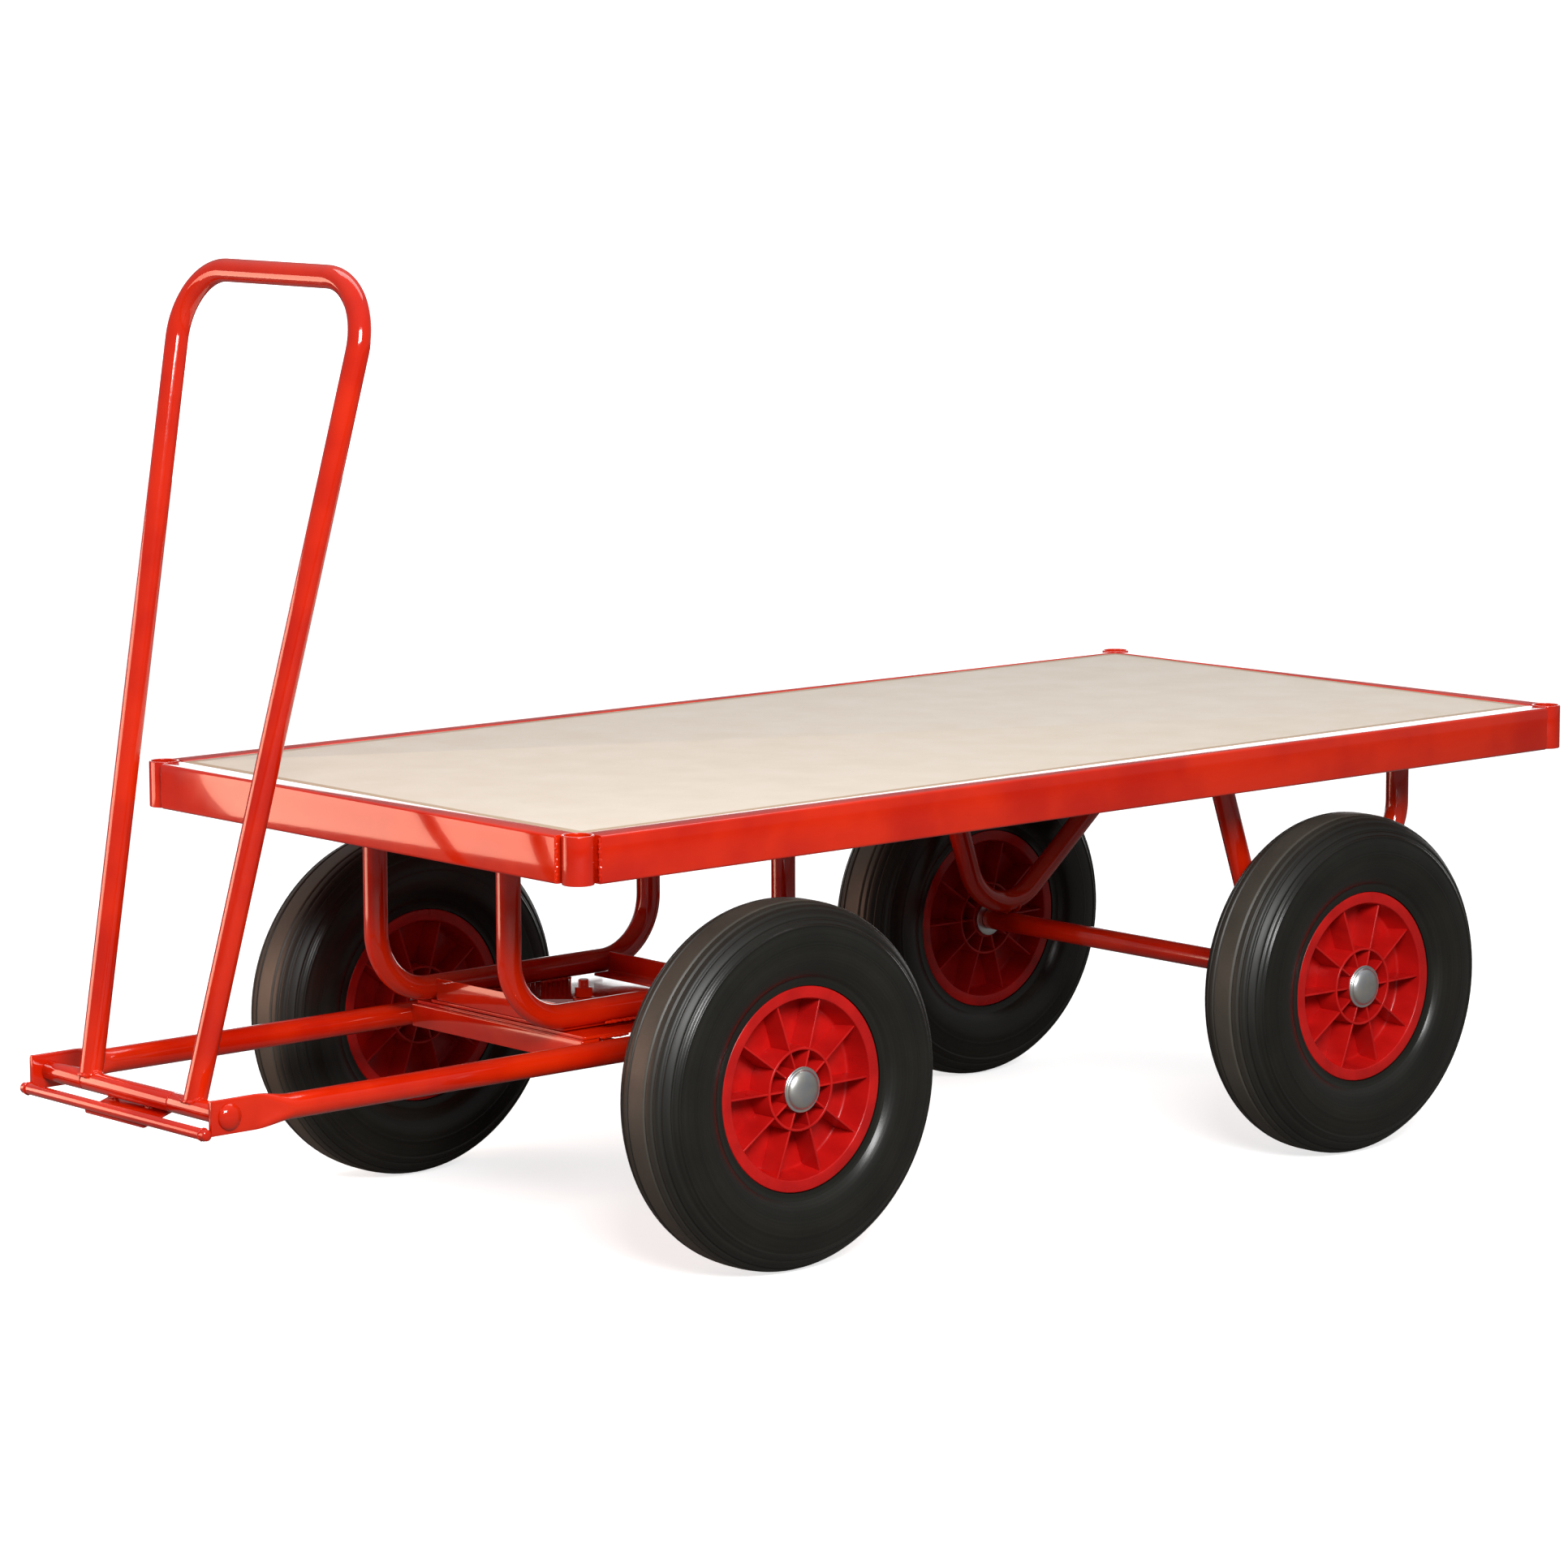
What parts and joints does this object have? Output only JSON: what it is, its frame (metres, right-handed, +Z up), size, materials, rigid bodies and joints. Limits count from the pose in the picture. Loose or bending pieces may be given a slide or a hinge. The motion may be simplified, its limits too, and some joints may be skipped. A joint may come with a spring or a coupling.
{
  "type": "platform trolley",
  "caption": "Platform trolley with a board deck in a red rail frame, a turntable front axle steered by a fold-down hoop handle, and air-tyred wheels.",
  "frame": {"origin": "on the floor, under the middle of the bounding box of the whole trolley at rest", "axes": "+X from the handle end to the rear of the deck, +Y from the left side to the right side, +Z up"},
  "size_m": [1.8384, 0.762, 1.0775],
  "materials": {
    "red_paint": "glossy red paint over welded steel tube, plate and bar",
    "red_plastic": "moulded red plastic with a soft gloss",
    "tyre_rubber": "black rubber, satin on the sidewall and duller on the tread",
    "deck_board": "pale beige board with a faint mottle, satin",
    "bright_zinc": "bright zinc plate, smooth",
    "bush_nylon": "off-white nylon"
  },
  "bodies": {
    "chassis": {"left_rail": "red_paint", "right_rail": "red_paint", "front_rail": "red_paint", "rear_rail": "red_paint", "front_left_socket": "red_paint", "front_right_socket": "red_paint", "rear_left_socket": "red_paint", "rear_right_socket": "red_paint", "deck_board": "deck_board", "bearer_1": "red_paint", "bearer_2": "red_paint", "bearer_3": "red_paint", "bearer_4": "red_paint", "front_hoop_left": "red_paint", "front_hoop_right": "red_paint", "turntable_upper_plate": "red_paint", "tray_angle_front": "red_paint", "tray_angle_rear": "red_paint", "kingpin_bolt": "red_paint", "kingpin_nut": "red_paint", "kingpin_washer": "red_paint", "rear_bracket_left": "red_paint", "rear_bracket_right": "red_paint", "rear_axle": "red_paint", "rear_left_washer": "bright_zinc", "rear_left_hub_cap": "bright_zinc", "rear_right_washer": "bright_zinc", "rear_right_hub_cap": "bright_zinc"},
    "steering_frame": {"turntable_lower_plate": "red_paint", "turntable_wear_ring": "bush_nylon", "drawbar_cross_front": "red_paint", "drawbar_cross_rear": "red_paint", "drawbar_tube_left": "red_paint", "drawbar_tube_right": "red_paint", "front_axle": "red_paint", "stop_rod": "red_paint", "pivot_bolt": "red_paint", "pivot_nut": "red_paint", "front_left_washer": "bright_zinc", "front_left_hub_cap": "bright_zinc", "front_right_washer": "bright_zinc", "front_right_hub_cap": "bright_zinc"},
    "handle": {"handle_hoop": "red_paint", "pivot_sleeve_left": "red_paint", "pivot_sleeve_middle": "red_paint", "pivot_sleeve_right": "red_paint", "stop_plate": "red_paint"},
    "front_left_wheel": {"front_left_tyre": "tyre_rubber", "front_left_rim": "red_plastic", "front_left_bush": "bush_nylon"},
    "front_right_wheel": {"front_right_tyre": "tyre_rubber", "front_right_rim": "red_plastic", "front_right_bush": "bush_nylon"},
    "rear_left_wheel": {"rear_left_tyre": "tyre_rubber", "rear_left_rim": "red_plastic", "rear_left_bush": "bush_nylon"},
    "rear_right_wheel": {"rear_right_tyre": "tyre_rubber", "rear_right_rim": "red_plastic", "rear_right_bush": "bush_nylon"}
  },
  "joints": [
    {"name": "steering", "type": "hinge", "parent": "chassis", "child": "steering_frame", "pos_m": [-0.2848, 0, 0.2437], "axis": [0, 0, 1], "range_deg": [-90, 90]},
    {"name": "handle_fold", "type": "hinge", "parent": "steering_frame", "child": "handle", "pos_m": [-0.8848, 0, 0.22385], "axis": [0, -1, 0], "range_deg": [0, 95]},
    {"name": "front_left_wheel_spin", "type": "hinge", "parent": "steering_frame", "child": "front_left_wheel", "pos_m": [-0.2848, -0.328, 0.2], "axis": [0, -1, 0], "continuous": true},
    {"name": "front_right_wheel_spin", "type": "hinge", "parent": "steering_frame", "child": "front_right_wheel", "pos_m": [-0.2848, 0.328, 0.2], "axis": [0, -1, 0], "continuous": true},
    {"name": "rear_left_wheel_spin", "type": "hinge", "parent": "chassis", "child": "rear_left_wheel", "pos_m": [0.5992, -0.318, 0.2], "axis": [0, -1, 0], "continuous": true},
    {"name": "rear_right_wheel_spin", "type": "hinge", "parent": "chassis", "child": "rear_right_wheel", "pos_m": [0.5992, 0.318, 0.2], "axis": [0, -1, 0], "continuous": true}
  ]
}
